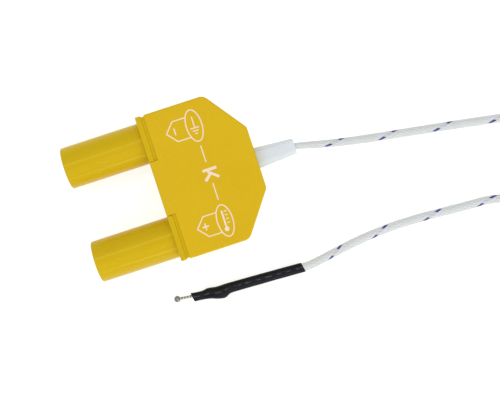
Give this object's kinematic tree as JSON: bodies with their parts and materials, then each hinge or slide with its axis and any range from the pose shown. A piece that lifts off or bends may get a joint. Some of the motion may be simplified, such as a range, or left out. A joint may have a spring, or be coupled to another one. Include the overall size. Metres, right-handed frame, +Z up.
{
  "type": "thermocouple",
  "caption": "Bead-tip wire temperature probe: braided lead with a black tip sleeve and a yellow plug with shrouded round pins, lead mostly coiled and tied.",
  "frame": {"origin": "on the plug's back face, under the middle of the plug without its lead", "axes": "+X from the pins towards the lead, +Y towards the common pin, +Z up out of the printed face"},
  "size_m": [0.1142, 0.0483, 0.011],
  "materials": {
    "housing_yellow": "yellow moulded nylon, fine satin texture",
    "shroud_yellow": "yellow moulded nylon, semi-gloss",
    "pin_nickel": "nickel-plated brass, bright",
    "spring_metal": "plated beryllium copper",
    "screw_steel": "zinc-plated steel",
    "relief_nylon": "natural white nylon",
    "glass_braid": "varnished glass-fibre braid, white with a blue tracer",
    "positive_braid": "glass-fibre braid, yellow",
    "negative_braid": "glass-fibre braid, red",
    "sleeve_black": "black heat-shrink sleeve, soft sheen",
    "binding_yarn": "glass yarn",
    "chromel": "drawn nickel-chromium wire, slightly oxidised",
    "alumel": "drawn nickel-aluminium wire, slightly oxidised",
    "bead_metal": "weld bead, dull grey",
    "ferrule_metal": "tinned brass",
    "tie_vinyl": "black vinyl tie"
  },
  "bodies": {
    "root": {"upper_shell": "housing_yellow", "lower_shell": "housing_yellow", "shroud_com": "shroud_yellow", "shroud_temp": "shroud_yellow", "pin_com": "pin_nickel", "pin_temp": "pin_nickel", "contact_spring_com": "spring_metal", "contact_spring_temp": "spring_metal", "clamp_screw_com": "screw_steel", "clamp_screw_temp": "screw_steel", "housing_screw": "screw_steel", "strain_relief": "relief_nylon", "cable_entry": "glass_braid", "anchor_ferrule": "ferrule_metal", "alumel_lead": "alumel", "chromel_lead": "chromel", "alumel_sleeve": "negative_braid", "chromel_sleeve": "positive_braid", "cable_run_out": "glass_braid", "cable_coil": "glass_braid", "coil_tie": "tie_vinyl", "cable_run_back": "glass_braid", "heat_shrink": "sleeve_black", "cable_tail": "glass_braid", "tip_binding": "binding_yarn", "chromel_tip_wire": "chromel", "alumel_tip_wire": "alumel", "junction_bead": "bead_metal"}
  },
  "joints": []
}
